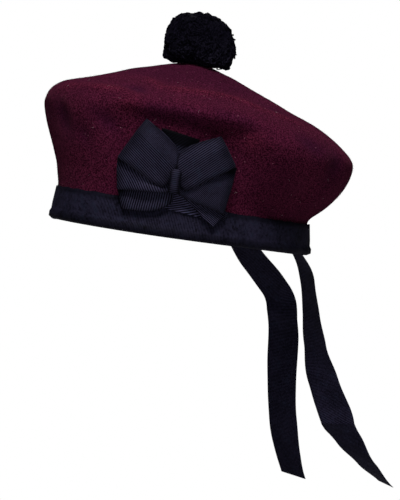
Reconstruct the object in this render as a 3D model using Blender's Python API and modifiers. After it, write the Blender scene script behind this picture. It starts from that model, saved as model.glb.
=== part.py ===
"""Balmoral bonnet: a fulled wool crown in a ribbon headband, with a ribbon cockade, a wool
pompom and two ribbon ties at the back.

Metres, +Z up. The wearer looks along -Y and +X is the wearer's left. The origin is the centre of
the rim's opening, where the bonnet sits on a head. The bonnet leans back as it is worn, so all
that turns with it hangs on one empty, and the ties hang down from its back edge.
A turn is an angle round the hat, from the front towards the wearer's left.
"""
from collections import namedtuple
from math import cos, hypot, pi, radians, sin, sqrt, tan
from random import Random

import bmesh
import bpy
from mathutils import Matrix, Vector
from mathutils.bvhtree import BVHTree

# Head opening and headband
HEAD_LENGTH = 0.2010
HEAD_WIDTH = 0.1600
WORN_TILT = radians(-11.7)
BAND_HEIGHT = 0.0220
BAND_LEAF = 0.0010
BAND_FLARE_FRONT = radians(5.0)
BAND_FLARE_BACK = radians(10.0)

# Crown
FELT_WALL = 0.0024
CROWN_RADIUS = 0.1175
EDGE_RISE = 0.0585
APEX_RISE = 0.1055
APEX_FORWARD = 0.0100
TOP_CONVEXITY = 1.12
ROLL_SQUARENESS = 2.2
HEM_HOLD = 0.0140

# Cockade
RIBBON_WALL = 0.0010
COCKADE_TURN = radians(44.5)
COCKADE_RISE = 0.0160
COCKADE_SPAN = 0.0420
COCKADE_RIBBON = 0.0320
COCKADE_LEAN = tan(radians(9.0))
PRESS_SIDE = 1.95
PRESS_SIDE_FADE = 0.95
PRESS_TOP = 1.28
PRESS_TOP_FADE = 0.40
KNOT_WIDTH = 0.0075
KNOT_LENGTH = 0.0160
KNOT_BOW = 0.0007

# Pompom
POMPOM_WIDTH = 0.0530
POMPOM_HEIGHT = 0.0470
POMPOM_SEAT = 0.0126
YARN_CORE = 0.0445
LOCK_COUNT = 84
LOCK_COVER = 1.62
LOCK_SIZE = 0.0056
YARN_MESH = 0.0032

# Ties
TIE_WIDTH = 0.0250
TIE_WALL = 0.0010
TIE_LENGTH = 0.2080
TIE_TUCK = 0.0140
TIE_SPREAD = radians(19.0)

# Gap between pieces that touch, and how finely round forms are cut
CLEARANCE = 0.0003
SECTORS = 64
HEM_STEPS = 2
WALL_STEPS = 6
ROLL_STEPS = 5
TOP_STEPS = 6

# Crown sections, evenly spaced from the front round by the wearer's left. reach is the widest
# radius and roll, crest and waist are lengths, as shares of CROWN_RADIUS; rise is the widest
# edge's height over the band, as a share of EDGE_RISE; belly is how soon the wall swings out.
CrownSection = namedtuple("CrownSection", "reach rise roll crest belly waist")
CROWN_SECTIONS = [
    CrownSection(0.995, 1.00, 0.15, 0.160, 1.15, 0.110),
    CrownSection(0.985, 0.95, 0.17, 0.165, 1.20, 0.100),
    CrownSection(0.990, 0.87, 0.22, 0.175, 1.55, 0.075),
    CrownSection(1.005, 0.80, 0.30, 0.210, 2.00, 0.045),
    CrownSection(1.022, 0.74, 0.37, 0.225, 2.30, 0.030),
    CrownSection(1.002, 0.80, 0.34, 0.215, 2.20, 0.045),
    CrownSection(0.990, 0.88, 0.22, 0.170, 1.55, 0.075),
    CrownSection(0.976, 1.00, 0.15, 0.165, 1.15, 0.110),
]

# Folds in the felt: each runs from one turn and path share to another, where the path goes from
# 0 at the top to 1 at the band. width and depth are shares of CROWN_RADIUS; a depth over zero
# is a hollow and one under zero a ridge. A fold's ends are FOLD_ENDS as deep as its middle.
FOLD_ENDS = 0.35
Fold = namedtuple("Fold", "turn_from path_from turn_to path_to width depth")
FOLDS = [
    Fold(28, 0.745, 56, 0.735, 0.075, 0.045),
    Fold(20, 0.640, 52, 0.655, 0.085, -0.022),
    Fold(118, 0.34, 150, 0.52, 0.085, 0.018),
    Fold(100, 0.42, 128, 0.58, 0.080, -0.016),
    Fold(300, 0.12, 338, 0.46, 0.080, 0.020),
    Fold(8, 0.14, 30, 0.50, 0.085, 0.018),
    Fold(352, 0.60, 340, 0.82, 0.090, 0.018),
    Fold(84, 0.66, 72, 0.93, 0.085, 0.020),
    Fold(112, 0.70, 104, 0.95, 0.090, 0.024),
    Fold(163, 0.68, 158, 0.95, 0.090, 0.024),
    Fold(196, 0.60, 204, 0.94, 0.090, 0.022),
    Fold(232, 0.64, 226, 0.95, 0.090, 0.030),
    Fold(262, 0.62, 270, 0.92, 0.090, 0.022),
    Fold(294, 0.66, 300, 0.92, 0.085, 0.020),
    Fold(205, 0.16, 232, 0.50, 0.090, 0.024),
    Fold(255, 0.20, 268, 0.52, 0.085, 0.018),
]

# Cockade loops. angle is the way each points, from the wearer's back-left round through up;
# reach is its length as a share of COCKADE_SPAN; tip and root are widths, and swell the width
# that one edge gains midway, as shares of COCKADE_RIBBON; skew turns the folded end; root_layer
# and tip_layer count ribbon layers out from the wall; puff is how far the loop stands open, as a
# share of COCKADE_SPAN. The ribbons start ROOT_START of the knot's width off its middle and gain
# their width along the power ROOT_FLARE of the way out, and a swell is widest before half way.
ROOT_START = 0.18
ROOT_FLARE = 0.6
SWELL_PLACE = 0.8
Loop = namedtuple("Loop", "name angle reach tip root swell skew root_layer tip_layer puff")
LOOPS = [
    Loop("loop_up_behind", 91, 0.79, 0.75, 0.38, 0.00, -11, 0.0, 3.0, 0.040),
    Loop("loop_low_front", 208, 0.91, 0.44, 0.40, 0.26, -9, 2.15, 0.8, 0.060),
    Loop("loop_mid_front", 181, 0.84, 0.70, 0.50, 0.00, 2, 4.0, 3.9, 0.060),
    Loop("loop_high_front", 137, 0.88, 1.00, 0.52, -0.10, 17, 6.0, 7.0, 0.080),
    Loop("loop_low_back", -1, 0.90, 1.06, 0.40, 0.00, -3, 4.0, 3.6, 0.070),
    Loop("loop_high_back", 41, 0.95, 0.72, 0.56, 0.16, -6, 6.0, 7.0, 0.075),
]

# Flat pieces of the cockade, with the same columns but one layer of ribbon
Leaf = namedtuple("Leaf", "name angle reach tip root swell skew root_layer tip_layer")
LEAVES = [
    Leaf("pleat_below", -77, 0.51, 1.03, 0.20, 0.00, -19, 0.0, 0.0),
    Leaf("tail_under", -26, 1.07, 0.22, 0.22, 0.00, 6, 2.0, 1.2),
    Leaf("tail_over", -35, 0.98, 0.34, 0.26, 0.00, -3, 3.0, 2.3),
]

# Locks of yarn: their size and how deep they sink into the head, each as a range of shares of
# LOCK_SIZE, and how slim and long each is
LOCK_SIZES = (0.85, 1.15)
LOCK_SINKS = (0.85, 1.05)
LOCK_SLIM = 0.8
LOCK_LONG = 1.25

# Pompom: where the yarn bulges beyond its round head. turn is in degrees from the front towards
# the wearer's left, rise in degrees over its middle, and height a share of POMPOM_WIDTH.
Bulge = namedtuple("Bulge", "turn rise height")
POMPOM_BULGES = [
    Bulge(-32, 36, 0.045),
    Bulge(144, -20, 0.020),
]
BULGE_SPREAD = 0.30

# Ties: along is the share of TIE_LENGTH; lean and swing are the way the ribbon runs, in degrees
# off straight down, to the back and to the wearer's left; facing turns its width, in degrees
# from the wearer's left towards the back.
TieBend = namedtuple("TieBend", "along lean swing facing")
TIE_LEFT_BENDS = [
    TieBend(0.00, 32, 8, -24),
    TieBend(0.12, 6, 4, -16),
    TieBend(0.24, 4, 3, -10),
    TieBend(0.36, 9, 4, -3),
    TieBend(0.50, 18, 6, 30),
    TieBend(0.64, 23, 9, 44),
    TieBend(0.76, 31, 13, 18),
    TieBend(0.88, 39, 17, -7),
    TieBend(1.00, 45, 20, -30),
]
TIE_RIGHT_BENDS = [
    TieBend(0.00, 28, 10, 19),
    TieBend(0.10, 37, 17, 24),
    TieBend(0.20, 33, 15, 28),
    TieBend(0.32, 4, 1, 30),
    TieBend(0.46, -3, -1, 28),
    TieBend(0.60, 1, -1, 24),
    TieBend(0.74, 10, -4, 18),
    TieBend(0.88, 20, -7, 12),
    TieBend(1.00, 28, -9, 8),
]
TIE_STEPS = 16

# Sizes that follow from those above
FELT_SKIN = BAND_LEAF + CLEARANCE + FELT_WALL
BAND_SKIN = FELT_SKIN + CLEARANCE + BAND_LEAF
HEM_HEIGHT = BAND_LEAF + CLEARANCE + FELT_WALL * sin(max(BAND_FLARE_FRONT, BAND_FLARE_BACK))
LAYER = RIBBON_WALL + CLEARANCE
COCKADE_HEIGHT = BAND_HEIGHT + COCKADE_RISE
COCKADE_LIFT = 2 * CLEARANCE
APEX = Vector((0.0, -APEX_FORWARD, BAND_HEIGHT + APEX_RISE))


def clear_scene():
    for old in list(bpy.data.objects):
        bpy.data.objects.remove(old, do_unlink=True)


def new_collection(name):
    group = bpy.data.collections.new(name)
    bpy.context.scene.collection.children.link(group)
    return group


def make_material(name, colour, roughness):
    material = bpy.data.materials.new(name)
    material.use_nodes = True
    shader = material.node_tree.nodes["Principled BSDF"]
    shader.inputs["Base Color"].default_value = (*colour, 1.0)
    shader.inputs["Roughness"].default_value = roughness
    shader.inputs["Metallic"].default_value = 0.0
    return material


def add_object(name, mesh, material, group, parent=None):
    piece = bpy.data.objects.new(name, mesh)
    mesh.materials.append(material)
    group.objects.link(piece)
    piece.parent = parent
    mesh.shade_smooth()
    return piece


def finish_mesh(name, shape):
    """Turns a bmesh into a mesh with its faces pointing out."""
    bmesh.ops.recalc_face_normals(shape, faces=shape.faces)
    mesh = bpy.data.meshes.new(name)
    shape.to_mesh(mesh)
    shape.free()
    return mesh


def loft(name, rows, closed_across=False, pole=None):
    """Skins rows of points, each row closed in a ring if asked, and ends on a pole if given."""
    shape = bmesh.new()
    rings = [[shape.verts.new(point) for point in row] for row in rows]
    count = len(rows[0])
    last = count if closed_across else count - 1
    for lower, upper in zip(rings, rings[1:]):
        for i in range(last):
            j = (i + 1) % count
            shape.faces.new((lower[i], lower[j], upper[j], upper[i]))
    if pole is not None:
        tip = shape.verts.new(pole)
        for i in range(last):
            shape.faces.new((rings[-1][i], rings[-1][(i + 1) % count], tip))
    return finish_mesh(name, shape)


def add_wall(piece, thickness, offset):
    wall = piece.modifiers.new("Wall", "SOLIDIFY")
    wall.thickness = thickness
    wall.offset = offset
    wall.use_even_offset = True
    wall.use_quality_normals = True


def smooth_step(value):
    """Eases from 0 to 1 as the value goes from 0 to 1."""
    value = min(max(value, 0.0), 1.0)
    return value * value * (3 - 2 * value)


def blend_round(rows, column, place):
    """Reads one column of rows that go round, at a place between them, on a smooth curve."""
    index = int(place // 1)
    part = place - index
    a, b, c, d = (getattr(rows[(index + step) % len(rows)], column) for step in (-1, 0, 1, 2))
    curve = 2 * b + (c - a) * part + (2 * a - 5 * b + 4 * c - d) * part ** 2
    curve += (3 * b - a - 3 * c + d) * part ** 3
    return curve / 2


def heading(turn):
    return Vector((sin(turn), -cos(turn), 0.0))


def band_radius(turn, height, skin):
    """Distance from the axis to a layer of the band, counted outwards from its inner face."""
    half_width = HEAD_WIDTH / 2
    half_length = HEAD_LENGTH / 2
    oval = half_width * half_length / hypot(half_length * sin(turn), half_width * cos(turn))
    flare = BAND_FLARE_FRONT + (BAND_FLARE_BACK - BAND_FLARE_FRONT) * (1 - cos(turn)) / 2
    return oval + skin - height * tan(flare)


def wall_radius(turn, height):
    """The flat ground that the cockade lies on: the band, then the felt pressed back by it."""
    rise = max(0.0, height - BAND_HEIGHT)
    return band_radius(turn, min(height, BAND_HEIGHT), BAND_SKIN) + COCKADE_LEAN * rise


def crown_profile(turn):
    """The crown's outer section at one turn, from the hem up to the last ring before the top."""
    place = turn / (2 * pi) * len(CROWN_SECTIONS)
    row = {column: blend_round(CROWN_SECTIONS, column, place) for column in CrownSection._fields}
    edge_radius = row["reach"] * CROWN_RADIUS
    edge_height = BAND_HEIGHT + row["rise"] * EDGE_RISE
    roll = row["roll"] * CROWN_RADIUS
    crest = row["crest"] * CROWN_RADIUS
    waist_radius = band_radius(turn, BAND_HEIGHT, BAND_SKIN)
    waist_height = BAND_HEIGHT + row["waist"] * CROWN_RADIUS
    out = heading(turn)
    points = []
    for step in range(HEM_STEPS + 1):
        height = HEM_HEIGHT + (BAND_HEIGHT + CLEARANCE - HEM_HEIGHT) * step / HEM_STEPS
        points.append(out * band_radius(turn, height, FELT_SKIN) + Vector((0, 0, height)))
    for step in range(WALL_STEPS + 1):
        share = step / WALL_STEPS
        radius = waist_radius + (edge_radius - waist_radius) * (1 - (1 - share) ** row["belly"])
        height = waist_height + (edge_height - waist_height) * share
        points.append(out * radius + Vector((0, 0, height)))
    shoulder = out * (edge_radius - roll) + Vector((0, 0, edge_height + crest))
    slope = (APEX.z - shoulder.z) / (shoulder - APEX).xy.length
    for step in range(1, ROLL_STEPS + 1):
        angle = pi / 2 * step / ROLL_STEPS
        share = abs(cos(angle)) ** (2 / ROLL_SQUARENESS)
        fall = sin(angle) ** (2 / ROLL_SQUARENESS)
        radius = edge_radius - roll * (1 - share)
        height = edge_height + (crest - slope * roll * share) * fall
        points.append(out * radius + Vector((0, 0, height)))
    for step in range(1, TOP_STEPS):
        share = 1 - step / TOP_STEPS
        point = APEX.lerp(shoulder, share)
        point.z = APEX.z - (APEX.z - shoulder.z) * share ** TOP_CONVEXITY
        points.append(point)
    return points


def path_lengths(points):
    """How far each point of a section lies from the top, along the felt."""
    lengths = [(points[-1] - APEX).length]
    for upper, lower in zip(points[::-1], points[-2::-1]):
        lengths.append(lengths[-1] + (upper - lower).length)
    return lengths[::-1]


def fold_depth(turn, length, whole, radius):
    """How far the felt lies in at a place, from all the folds that cross it."""
    depth = 0.0
    for fold in FOLDS:
        start = radians(fold.turn_from)
        sweep = (radians(fold.turn_to) - start + pi) % (2 * pi) - pi
        off = (turn - start + pi) % (2 * pi) - pi
        line = Vector((sweep * radius, (fold.path_to - fold.path_from) * whole))
        place = Vector((off * radius, length - fold.path_from * whole))
        along = min(max(place.dot(line) / line.length_squared, 0.0), 1.0)
        away = (place - line * along).length / (2 * fold.width * CROWN_RADIUS)
        fade = FOLD_ENDS + (1 - FOLD_ENDS) * sin(pi * along)
        depth += fold.depth * CROWN_RADIUS * fade * smooth_step(1 - away)
    return depth


def press_back(point, turn):
    """Lays the felt flat behind the cockade."""
    across = ((turn - COCKADE_TURN + pi) % (2 * pi) - pi) * point.xy.length / COCKADE_SPAN
    rise = (point.z - COCKADE_HEIGHT) / COCKADE_SPAN
    weight = smooth_step((PRESS_SIDE - abs(across)) / PRESS_SIDE_FADE)
    weight *= smooth_step((PRESS_TOP - rise) / PRESS_TOP_FADE)
    extra = point.xy.length - wall_radius(turn, point.z)
    if extra <= 0 or point.z < BAND_HEIGHT:
        return point
    return point - heading(turn) * extra * weight


def crown_rows():
    turns = [2 * pi * i / SECTORS for i in range(SECTORS)]
    sections = [crown_profile(turn) for turn in turns]
    lengths = [path_lengths(section) for section in sections]
    rows = []
    for level in range(len(sections[0])):
        row = []
        for i, turn in enumerate(turns):
            point = sections[i][level]
            if level > HEM_STEPS:
                before = sections[i][level - 1]
                after = sections[i][level + 1] if level + 1 < len(sections[i]) else APEX
                side = sections[(i + 1) % SECTORS][level] - sections[i - 1][level]
                outward = side.cross(after - before).normalized()
                depth = fold_depth(turn, lengths[i][level], lengths[i][HEM_STEPS], point.xy.length)
                depth *= smooth_step((point.z - BAND_HEIGHT) / HEM_HOLD)
                point = press_back(point - outward * depth, turn)
            row.append(point)
        rows.append(row)
    return rows


def make_crown(material, group, worn):
    mesh = loft("crown", crown_rows(), closed_across=True, pole=APEX)
    crown = add_object("crown", mesh, material, group, worn)
    add_wall(crown, FELT_WALL, -1.0)
    return crown


def make_headband(material, group, worn):
    """A ribbon folded up over the felt's edge, outside and inside."""
    corner = 0.7 * BAND_LEAF
    section = [
        (BAND_SKIN, BAND_HEIGHT),
        (BAND_SKIN, BAND_LEAF),
        (BAND_SKIN - corner, 0.0),
        (corner, 0.0),
        (0.0, BAND_LEAF),
        (0.0, BAND_HEIGHT),
        (BAND_LEAF, BAND_HEIGHT),
        (BAND_LEAF, BAND_LEAF),
        (BAND_SKIN - BAND_LEAF, BAND_LEAF),
        (BAND_SKIN - BAND_LEAF, BAND_HEIGHT),
    ]
    rows = []
    for skin, height in section + section[:1]:
        row = []
        for i in range(SECTORS):
            turn = 2 * pi * i / SECTORS
            row.append(heading(turn) * band_radius(turn, height, skin) + Vector((0, 0, height)))
        rows.append(row)
    mesh = loft("headband", rows[:-1], closed_across=True)
    shape = bmesh.new()
    shape.from_mesh(mesh)
    edges = [edge for edge in shape.edges if edge.is_boundary]
    bmesh.ops.bridge_loops(shape, edges=edges)
    bpy.data.meshes.remove(mesh)
    return add_object("headband", finish_mesh("headband", shape), material, group, worn)


def on_wall(across, up, lift):
    """A point over the hat's wall, by its place in the cockade and its lift off the wall."""
    turn = COCKADE_TURN + across / band_radius(COCKADE_TURN, BAND_HEIGHT, BAND_SKIN)
    height = COCKADE_HEIGHT + up
    radius = wall_radius(turn, height) + COCKADE_LIFT + lift
    return heading(turn) * radius + Vector((0, 0, height))


def ribbon_rows(piece, stations):
    """Rows of points across a ribbon, for stations of distance out and lift off the wall."""
    rows = []
    reach = piece.reach * COCKADE_SPAN
    for distance, lift in stations:
        share = min(distance / reach, 1.0)
        half = (piece.root + (piece.tip - piece.root) * share ** ROOT_FLARE) * COCKADE_RIBBON / 2
        swell = piece.swell * COCKADE_RIBBON * sin(pi * share ** SWELL_PLACE)
        angle = radians(piece.angle)
        side = 1 if cos(angle) > 0 else -1
        edge = radians(piece.angle + 90 + piece.skew * share)
        row = []
        for step in (-1.0, -0.5, 0.0, 0.5, 1.0):
            off = step * half + (swell * abs(step) if step * swell > 0 else 0.0)
            across = distance * cos(angle) + off * cos(edge)
            up = distance * sin(angle) + off * sin(edge)
            if abs(cos(angle)) > 0.5:
                across = side * max(side * across, CLEARANCE)
            row.append(on_wall(across, up, lift))
        rows.append(row)
    return rows


def make_loop(loop, material, group, worn):
    """A length of ribbon that runs out from the knot, turns back and returns under itself."""
    reach = loop.reach * COCKADE_SPAN
    start = KNOT_WIDTH * ROOT_START
    bend = loop.puff * COCKADE_SPAN / 2
    low_root = loop.root_layer * LAYER + RIBBON_WALL / 2
    low_tip = loop.tip_layer * LAYER + RIBBON_WALL / 2
    high_root = low_root + LAYER
    high_tip = low_tip + 2 * bend
    straight = reach - bend
    stations = []
    for step in range(7):
        share = step / 6
        lift = high_root + (high_tip - high_root) * smooth_step(share)
        stations.append((start + (straight - start) * share, lift))
    for angle in (45, 90, 135):
        turn = radians(angle)
        stations.append((straight + bend * sin(turn), low_tip + bend * (1 + cos(turn))))
    for step in range(5, -1, -1):
        share = step / 5
        lift = low_root + (low_tip - low_root) * smooth_step(share)
        stations.append((start + (straight - start) * share, lift))
    piece = add_object(loop.name, loft(loop.name, ribbon_rows(loop, stations)), material, group, worn)
    add_wall(piece, RIBBON_WALL, 0.0)
    return piece


def make_leaf(leaf, material, group, worn):
    """One layer of ribbon that runs out from the knot to a cut end."""
    reach = leaf.reach * COCKADE_SPAN
    start = KNOT_WIDTH * ROOT_START
    root = leaf.root_layer * LAYER + RIBBON_WALL / 2
    tip = leaf.tip_layer * LAYER + RIBBON_WALL / 2
    stations = []
    for step in range(6):
        share = step / 5
        lift = root + (tip - root) * smooth_step(share)
        stations.append((start + (reach - start) * share, lift))
    piece = add_object(leaf.name, loft(leaf.name, ribbon_rows(leaf, stations)), material, group, worn)
    add_wall(piece, RIBBON_WALL, 0.0)
    return piece


def make_knot(material, group, worn):
    """A short ribbon wrapped over the roots of the loops."""
    base = (max(loop.root_layer for loop in LOOPS) + 2) * LAYER
    rows = []
    for step in range(7):
        share = step / 6 * 2 - 1
        lift = base + KNOT_BOW * share * share
        up = share * KNOT_LENGTH / 2
        row = [on_wall(side * KNOT_WIDTH / 2, up, lift) for side in (-1.0, -0.5, 0.0, 0.5, 1.0)]
        rows.append(row)
    knot = add_object("knot", loft("knot", rows), material, group, worn)
    add_wall(knot, RIBBON_WALL, 1.0)
    return knot


def make_pompom(crown, material, group, worn):
    """Locks of yarn fused to a round head, flat underneath where it sits on the crown."""
    bpy.context.view_layer.update()
    surface = BVHTree.FromObject(crown, bpy.context.evaluated_depsgraph_get())
    dice = Random(7)
    centre = APEX + Vector((0, 0, POMPOM_SEAT))
    shape = bmesh.new()
    bmesh.ops.create_uvsphere(shape, u_segments=24, v_segments=16, radius=YARN_CORE / 2)
    for i in range(LOCK_COUNT):
        level = 1 - LOCK_COVER * (i + 0.5) / LOCK_COUNT
        turn = i * pi * (3 - sqrt(5))
        way = Vector((sqrt(1 - level * level) * cos(turn), sqrt(1 - level * level) * sin(turn), level))
        size = LOCK_SIZE * dice.uniform(*LOCK_SIZES)
        place = way * (POMPOM_WIDTH / 2 - size * dice.uniform(*LOCK_SINKS))
        lock = bmesh.ops.create_icosphere(shape, subdivisions=2, radius=size)
        stretch = Matrix.Diagonal((LOCK_SLIM, LOCK_SLIM, LOCK_LONG, 1.0))
        aim = way.to_track_quat("Z", "Y").to_matrix().to_4x4()
        bmesh.ops.transform(shape, matrix=Matrix.Translation(place) @ aim @ stretch, verts=lock["verts"])
    for bulge in POMPOM_BULGES:
        rise = radians(bulge.rise)
        out = heading(radians(bulge.turn)) * cos(rise) + Vector((0, 0, sin(rise)))
        for vertex in shape.verts:
            way = vertex.co.normalized()
            near = smooth_step((way.dot(out) - 1 + BULGE_SPREAD) / BULGE_SPREAD)
            vertex.co += way * bulge.height * POMPOM_WIDTH * near
    squash = Matrix.Diagonal((1.0, 1.0, POMPOM_HEIGHT / POMPOM_WIDTH, 1.0))
    bmesh.ops.transform(shape, matrix=Matrix.Translation(centre) @ squash, verts=shape.verts)
    head = add_object("yarn_head", finish_mesh("yarn_head", shape), material, group)
    fuse = head.modifiers.new("Fuse", "REMESH")
    fuse.mode = "VOXEL"
    fuse.voxel_size = YARN_MESH
    bpy.context.view_layer.update()
    fused = bpy.data.meshes.new_from_object(head.evaluated_get(bpy.context.evaluated_depsgraph_get()))
    bpy.data.objects.remove(head, do_unlink=True)
    above = 2 * POMPOM_WIDTH
    for vertex in fused.vertices:
        start = Vector((vertex.co.x, vertex.co.y, APEX.z + above))
        for shift in ((0, 0), (1, 0), (-1, 0), (0, 1), (0, -1)):
            near = start + Vector((*shift, 0)) * YARN_MESH / 2
            hit = surface.ray_cast(near, Vector((0, 0, -1)))[0]
            vertex.co.z = max(vertex.co.z, hit.z + CLEARANCE)
        if (vertex.co.xy - APEX.xy).length < YARN_MESH:
            vertex.co.z = max(vertex.co.z, APEX.z + CLEARANCE)
    fused.materials.clear()
    fused.name = "pompom"
    return add_object("pompom", fused, material, group, worn)


def tie_bend(bends, along):
    """The way a tie runs and faces at a share of its length."""
    for before, after in zip(bends, bends[1:]):
        if along <= after.along:
            break
    share = smooth_step((along - before.along) / (after.along - before.along))
    return [a + (b - a) * share for a, b in zip(before[1:], after[1:])]


def make_tie(name, side, bends, material, group):
    """A flat ribbon sewn inside the headband, which hangs from its lower edge."""
    lean_back = Matrix.Rotation(WORN_TILT, 3, "X")
    turn = pi - side * TIE_SPREAD
    chord_sag = HEAD_LENGTH / 2 * (1 - cos(pi / SECTORS))
    inset = CLEARANCE + chord_sag + TIE_WALL / 2
    reach = band_radius(turn, 0.0, 0.0)
    steps = (-1.0, -1 / 3, 1 / 3, 1.0)
    rows = []
    for height in (TIE_TUCK, TIE_TUCK / 2, 0.0):
        row = []
        for step in steps:
            near = turn - step * TIE_WIDTH / 2 / reach
            radius = band_radius(near, height, -inset)
            row.append(lean_back @ (heading(near) * radius + Vector((0, 0, height))))
        rows.append(row)
    middle = (rows[-1][1] + rows[-1][2]) / 2
    sag = (middle - (rows[-1][0] + rows[-1][3]) / 2).length
    stride = TIE_LENGTH / TIE_STEPS
    for count in range(1, TIE_STEPS + 1):
        lean, swing, facing = (radians(v) for v in tie_bend(bends, (count - 0.5) / TIE_STEPS))
        way = Vector((tan(swing), tan(lean), -1.0)).normalized()
        middle = middle + way * stride
        facing = radians(tie_bend(bends, count / TIE_STEPS)[2])
        across = Vector((cos(facing), sin(facing), 0.0))
        across = (across - way * across.dot(way)).normalized()
        out = across.cross(way)
        curl = sag * max(0.0, 1 - 3 * count / TIE_STEPS)
        row = []
        for step in steps:
            row.append(middle + across * step * TIE_WIDTH / 2 - out * curl * step * step)
        rows.append(row)
    tie = add_object(name, loft(name, rows), material, group)
    add_wall(tie, TIE_WALL, 0.0)
    return tie


def main():
    clear_scene()
    bonnet = new_collection("balmoral_bonnet")
    felt = make_material("maroon_felt", (0.075, 0.008, 0.020), 0.95)
    grosgrain = make_material("black_grosgrain", (0.012, 0.012, 0.018), 0.70)
    yarn = make_material("black_yarn", (0.004, 0.004, 0.006), 0.95)

    worn = bpy.data.objects.new("worn_tilt", None)
    bonnet.objects.link(worn)
    worn.rotation_euler = (WORN_TILT, 0.0, 0.0)

    crown = make_crown(felt, bonnet, worn)
    make_headband(grosgrain, bonnet, worn)
    for loop in LOOPS:
        make_loop(loop, grosgrain, bonnet, worn)
    for leaf in LEAVES:
        make_leaf(leaf, grosgrain, bonnet, worn)
    make_knot(grosgrain, bonnet, worn)
    make_pompom(crown, yarn, bonnet, worn)
    make_tie("tie_left", 1, TIE_LEFT_BENDS, grosgrain, bonnet)
    make_tie("tie_right", -1, TIE_RIGHT_BENDS, grosgrain, bonnet)


main()
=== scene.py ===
"""Balmoral bonnet: its felt crown, ribbed headband, ribbon cockade, yarn pompom and ribbon ties.

Metres, +Z up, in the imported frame. The bonnet leans back as it is worn, so its forms are worked
out upright and then leant by WORN_TILT about the origin, the centre of the head opening. A turn
is an angle round the hat, from the front towards the wearer's left.
"""
from collections import namedtuple
from math import cos, hypot, pi, radians, sin, tan
from random import Random

import bmesh
import bpy
import numpy as np
from mathutils import Matrix, Vector, noise
from mathutils.bvhtree import BVHTree


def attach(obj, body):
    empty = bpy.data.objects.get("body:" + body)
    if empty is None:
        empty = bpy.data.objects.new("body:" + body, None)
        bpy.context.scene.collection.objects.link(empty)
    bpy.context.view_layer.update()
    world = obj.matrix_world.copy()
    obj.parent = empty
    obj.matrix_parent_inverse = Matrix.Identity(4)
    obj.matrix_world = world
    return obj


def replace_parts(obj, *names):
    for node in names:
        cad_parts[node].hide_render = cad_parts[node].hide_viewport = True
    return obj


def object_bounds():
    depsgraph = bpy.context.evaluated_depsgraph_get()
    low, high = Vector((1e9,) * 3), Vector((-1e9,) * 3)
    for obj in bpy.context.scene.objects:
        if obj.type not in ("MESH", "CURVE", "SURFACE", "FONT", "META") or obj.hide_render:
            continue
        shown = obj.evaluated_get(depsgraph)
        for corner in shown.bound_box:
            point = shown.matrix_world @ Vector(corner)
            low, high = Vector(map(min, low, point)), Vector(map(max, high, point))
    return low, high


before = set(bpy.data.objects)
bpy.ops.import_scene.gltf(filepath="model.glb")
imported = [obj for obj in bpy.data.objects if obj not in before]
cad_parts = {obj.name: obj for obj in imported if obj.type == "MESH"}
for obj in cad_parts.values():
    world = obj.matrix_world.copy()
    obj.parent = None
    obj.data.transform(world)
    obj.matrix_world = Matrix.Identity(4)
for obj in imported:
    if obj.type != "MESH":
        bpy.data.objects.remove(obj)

cad_low, cad_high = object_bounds()

# View, worked out from the bonnet's outline in the photograph
VIEW_AZIMUTH = 50.0
VIEW_ELEVATION = 9.0
VIEW_DISTANCE = 1.651
VIEW_LENS = 160.0
VIEW_RIGHT = 0.0145
VIEW_UP = -0.0115
VIEW_FILM = 36.0
VIEW_END = 200.0

# Studio: the floor lies under the ties' ends. Each lamp is placed in degrees off the view's
# azimuth and up, and metres away, with its size in metres, its power in watts and its colour.
FLOOR_DROP = 0.050
FLOOR_SIZE = 80.0
FLOOR_SHADE = (0.50, 0.50, 0.50)
SKY_LIGHT = 0.05
Lamp = namedtuple("Lamp", "name azimuth elevation distance size power colour")
LAMPS = [
    Lamp("key", 4, 58, 1.7, 0.5, 27, (1.0, 0.95, 0.92)),
    Lamp("front", 3, 12, 1.8, 0.5, 3.6, (0.92, 0.94, 1.0)),
    Lamp("back", 180, 40, 1.7, 0.8, 7, (1.0, 1.0, 1.0)),
]

# Sizes of the construction, which the finish follows
WORN_TILT = radians(-11.7)
HEAD_LENGTH = 0.2010
HEAD_WIDTH = 0.1600
BAND_HEIGHT = 0.0220
BAND_LEAF = 0.0010
BAND_FLARE_FRONT = radians(5.0)
BAND_FLARE_BACK = radians(10.0)
FELT_WALL = 0.0024
RIBBON_WALL = 0.0010
CLEARANCE = 0.0003
COCKADE_TURN = radians(44.5)
COCKADE_RISE = 0.0160
COCKADE_SPAN = 0.0420
COCKADE_RIBBON = 0.0320
COCKADE_LEAN = tan(radians(9.0))
KNOT_WIDTH = 0.0075
KNOT_LENGTH = 0.0160
ROOT_START = 0.18
ROOT_FLARE = 0.6
SWELL_PLACE = 0.8
SWELL_SHARE = 0.32
TIE_WIDTH = 0.0250
TIE_WALL = 0.0010
TIE_LENGTH = 0.2080
TIE_TUCK = 0.0140
TIE_SPREAD = radians(19.0)

# How many flat sides the construction gives the head opening
HEAD_SIDES = 64

# Ribbon: the cloth's thickness, its ribs and the faces to a rib, and how it ripples at the knot
# and arches
RIBBON_CLOTH = 0.00042
BAND_CLOTH = 0.00080
RIB_DEPTH = 0.00012
RIB_CUTS = 4
KNOT_PITCH = 0.0013
ROOT_RIPPLE = 0.00030
LOOP_CROWN = 0.0008
KNOT_CROWN = 0.0016
KNOT_TUCK = 0.0024

# Headband: its ribs and waves, the roll along its lower edge with a groove over it and painted
# shade over the roll, and the painted shadow along its top, in shares of the way over the felt's edge
BAND_PITCH = 0.00115
BAND_DEPTH = 0.00006
BAND_STEPS = 720
BAND_ROWS = 20
PUCKER = 0.00030
EDGE_WAVE = 0.00025
ROLL_SIZE = 0.0010
ROLL_RISE = 0.0026
ROLL_REACH = 0.0030
ROLL_DROP = 0.0040
ROLL_SHADE = 0.0032
GROOVE_RISE = 0.0068
GROOVE_REACH = 0.0020
PAINTED_TOP_SHADOW_START = 0.925
PAINTED_TOP_SHADOW_REACH = 0.035

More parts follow.
